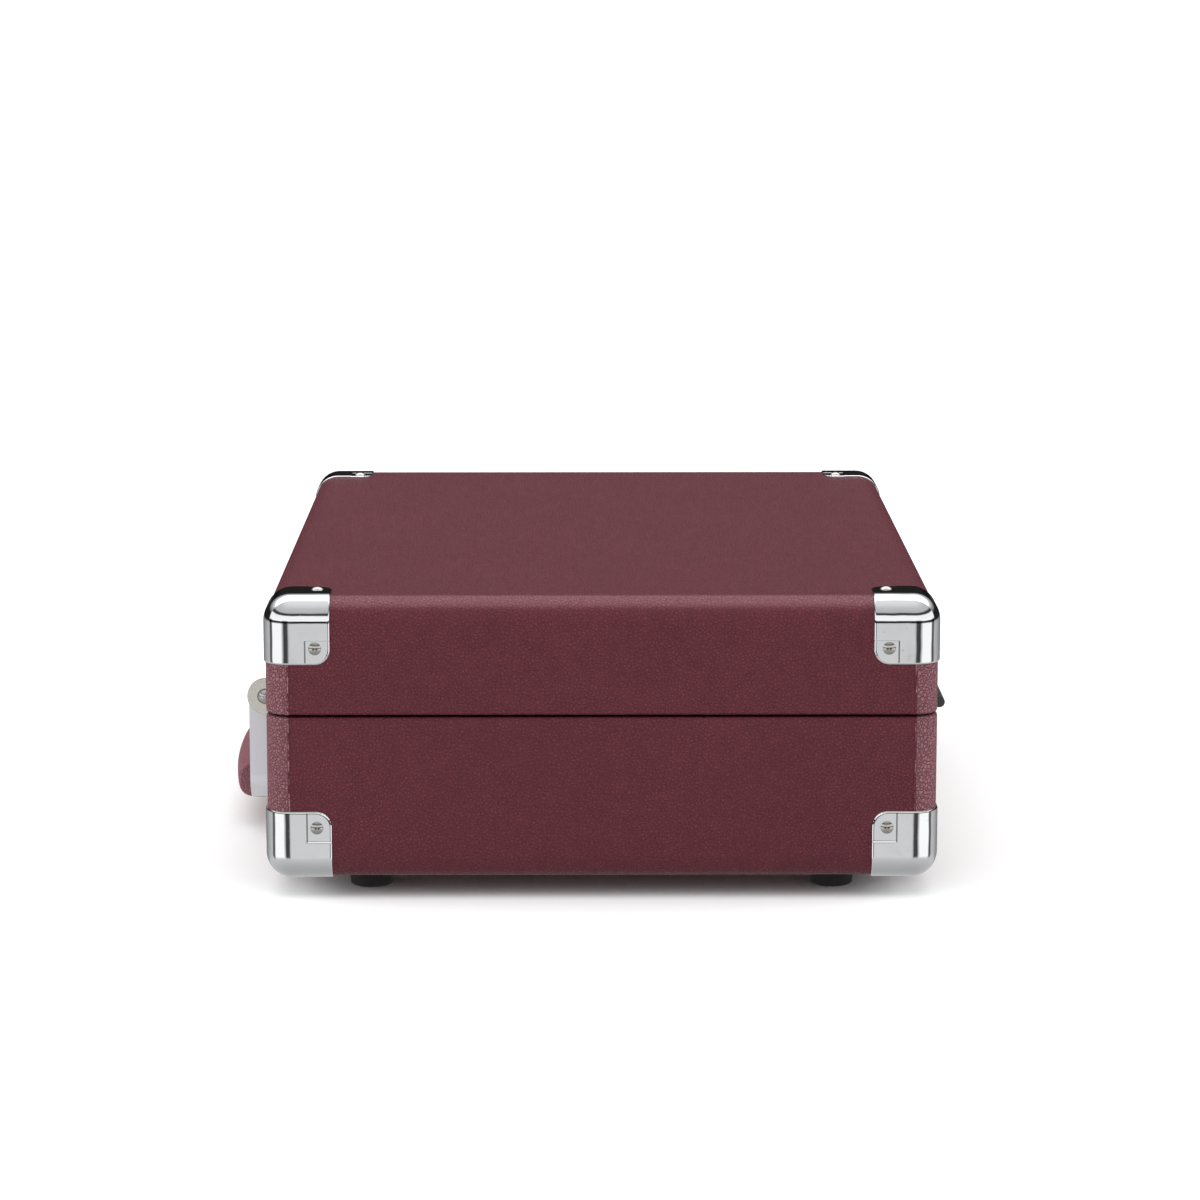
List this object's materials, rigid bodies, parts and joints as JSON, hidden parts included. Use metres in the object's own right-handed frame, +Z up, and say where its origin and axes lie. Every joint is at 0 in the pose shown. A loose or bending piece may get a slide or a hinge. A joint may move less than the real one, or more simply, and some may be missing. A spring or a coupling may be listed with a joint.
{
  "type": "suitcase record player",
  "caption": "Portable record player in a leatherette suitcase with plated corners, folding front handle, hinged lid and a belt-driven deck.",
  "frame": {"origin": "centre of the footprint on the plane of the feet", "axes": "+Z up, +X to the right seen from the front, front (handle side) towards -Y"},
  "size_m": [0.3584, 0.2967, 0.1235],
  "materials": {
    "mdf": "raw board",
    "leatherette": "pebble grain, semi-matte",
    "grip_leatherette": "pebble grain, semi-matte",
    "bright_plating": "polished",
    "nickel_bracket": "bright, faintly warm",
    "satin_strap": "satin",
    "dark_hinge": "blackened",
    "foot_rubber": "matte",
    "screw_steel": "zinc plated",
    "deck_black": "fine texture",
    "knob_black": "satin gloss",
    "yoke_grey": "satin",
    "arm_aluminium": "polished",
    "turned_steel": "turned",
    "brass": "turned",
    "nylon": "natural",
    "platter_black": "fine satin",
    "felt": "felt",
    "cartridge_red": "gloss",
    "led_red": "clear tinted",
    "control_grey": "moulded",
    "speaker_steel": "black",
    "cone_paper": "coated",
    "board_green": "solder mask",
    "jack_nickel": "bright",
    "lid_cloth": "flocked"
  },
  "bodies": {
    "case": {"base_shell": "mdf", "base_covering": "leatherette", "base_corner_plates": "bright_plating", "base_corner_nails": "bright_plating", "rubber_feet": "foot_rubber", "deck_plate": "deck_black", "case_screws": "screw_steel", "motor": "turned_steel", "motor_grommets": "foot_rubber", "drive_belt": "foot_rubber", "spindle": "turned_steel", "thrust_washer": "nylon", "tonearm_base": "deck_black", "arm_rest": "deck_black", "cue_bracket": "deck_black", "potentiometers": "control_grey", "switch_bodies": "control_grey", "power_led": "led_red", "headphone_jack": "control_grey", "speaker_frames": "speaker_steel", "speaker_cones": "cone_paper", "speaker_magnets": "turned_steel", "main_board": "board_green", "rear_panel": "deck_black", "rear_jacks": "jack_nickel", "latch_plates": "bright_plating", "handle_brackets": "nickel_bracket", "hinge_base_leaves": "dark_hinge"},
    "motor_rotor": {"motor_shaft": "turned_steel", "motor_pulley": "brass"},
    "platter": {"platter": "platter_black", "platter_bush": "brass", "slipmat": "felt"},
    "arm_yoke": {"arm_yoke": "yoke_grey"},
    "tonearm": {"tonearm_tube": "arm_aluminium", "headshell": "knob_black", "cartridge": "cartridge_red", "stylus": "nylon", "counterweight": "yoke_grey"},
    "cue_lever": {"cue_lever": "knob_black"},
    "cue_lift": {"cue_lift": "knob_black"},
    "volume_knob": {"volume_knob": "knob_black"},
    "tone_knob": {"tone_knob": "knob_black"},
    "speed_switch": {"speed_switch": "arm_aluminium"},
    "autostop_switch": {"autostop_switch": "knob_black"},
    "source_switch": {"source_switch": "knob_black"},
    "adapter_45": {"adapter_45": "yoke_grey"},
    "latch_bolt_left": {"latch_bolt_left": "screw_steel"},
    "latch_bolt_right": {"latch_bolt_right": "screw_steel"},
    "hasp_left": {"hasp_left": "bright_plating"},
    "hasp_right": {"hasp_right": "bright_plating"},
    "handle": {"handle_frame": "satin_strap", "handle_grip": "grip_leatherette"},
    "lid": {"lid_shell": "mdf", "lid_covering": "leatherette", "lid_corner_plates": "bright_plating", "lid_corner_nails": "bright_plating", "lid_lining": "lid_cloth", "hasp_hinges": "bright_plating", "hinge_lid_leaves": "dark_hinge"}
  },
  "joints": [
    {"name": "lid_hinge", "type": "hinge", "parent": "case", "child": "lid", "pos_m": [0, 0.14615, 0.0746], "axis": [-1, 0, 0], "range_deg": [0, 100]},
    {"name": "handle_fold", "type": "hinge", "parent": "case", "child": "handle", "pos_m": [0, -0.13165, 0.0609], "axis": [-1, 0, 0], "range_deg": [0, 100]},
    {"name": "hasp_left_swing", "type": "hinge", "parent": "lid", "child": "hasp_left", "pos_m": [-0.11, -0.12525, 0.0795], "axis": [-1, 0, 0], "range_deg": [0, 100]},
    {"name": "hasp_right_swing", "type": "hinge", "parent": "lid", "child": "hasp_right", "pos_m": [0.11, -0.12525, 0.0795], "axis": [-1, 0, 0], "range_deg": [0, 100]},
    {"name": "latch_left_slide", "type": "slide", "parent": "case", "child": "latch_bolt_left", "axis": [0, -1, 0], "range_m": [0, 0.002]},
    {"name": "latch_right_slide", "type": "slide", "parent": "case", "child": "latch_bolt_right", "axis": [0, -1, 0], "range_m": [0, 0.002]},
    {"name": "platter_spin", "type": "hinge", "parent": "case", "child": "platter", "pos_m": [-0.042, 0.02015, 0.075], "axis": [0, 0, 1], "continuous": true},
    {"name": "pulley_spin", "type": "hinge", "parent": "case", "child": "motor_rotor", "pos_m": [-0.1, 0.07815, 0.06], "axis": [0, 0, 1], "continuous": true},
    {"name": "arm_swing", "type": "hinge", "parent": "case", "child": "arm_yoke", "pos_m": [0.118, 0.09815, 0.08], "axis": [0, 0, -1], "range_deg": [0, 50]},
    {"name": "arm_lift", "type": "hinge", "parent": "arm_yoke", "child": "tonearm", "pos_m": [0.118, 0.09815, 0.093], "axis": [-1, 0, 0], "range_deg": [0, 5]},
    {"name": "cue_turn", "type": "hinge", "parent": "case", "child": "cue_lever", "pos_m": [0.146, 0.08615, 0.075], "axis": [-1, 0, 0], "range_deg": [0, 60]},
    {"name": "cue_rise", "type": "slide", "parent": "case", "child": "cue_lift", "axis": [0, 0, 1], "range_m": [0, 0.0034]},
    {"name": "volume_turn", "type": "hinge", "parent": "case", "child": "volume_knob", "pos_m": [0.149, -0.08185, 0.075], "axis": [0, 0, -1], "range_deg": [0, 300]},
    {"name": "tone_turn", "type": "hinge", "parent": "case", "child": "tone_knob", "pos_m": [0.149, -0.05185, 0.075], "axis": [0, 0, -1], "range_deg": [-140, 140]},
    {"name": "speed_slide", "type": "slide", "parent": "case", "child": "speed_switch", "axis": [1, 0, 0], "range_m": [0, 0.014]},
    {"name": "autostop_slide", "type": "slide", "parent": "case", "child": "autostop_switch", "axis": [0, 1, 0], "range_m": [0, 0.01]},
    {"name": "source_slide", "type": "slide", "parent": "case", "child": "source_switch", "axis": [0, 1, 0], "range_m": [0, 0.016]},
    {"name": "adapter_out", "type": "slide", "parent": "case", "child": "adapter_45", "axis": [0, 0, 1], "range_m": [0, 0.02]}
  ],
  "couplings": [
    {"joint": "pulley_spin", "follows": "platter_spin", "ratio": 14},
    {"joint": "arm_lift", "follows": "cue_turn", "ratio": 0.083333},
    {"joint": "cue_rise", "follows": "cue_turn", "m_per_rad": 0.0031513}
  ]
}
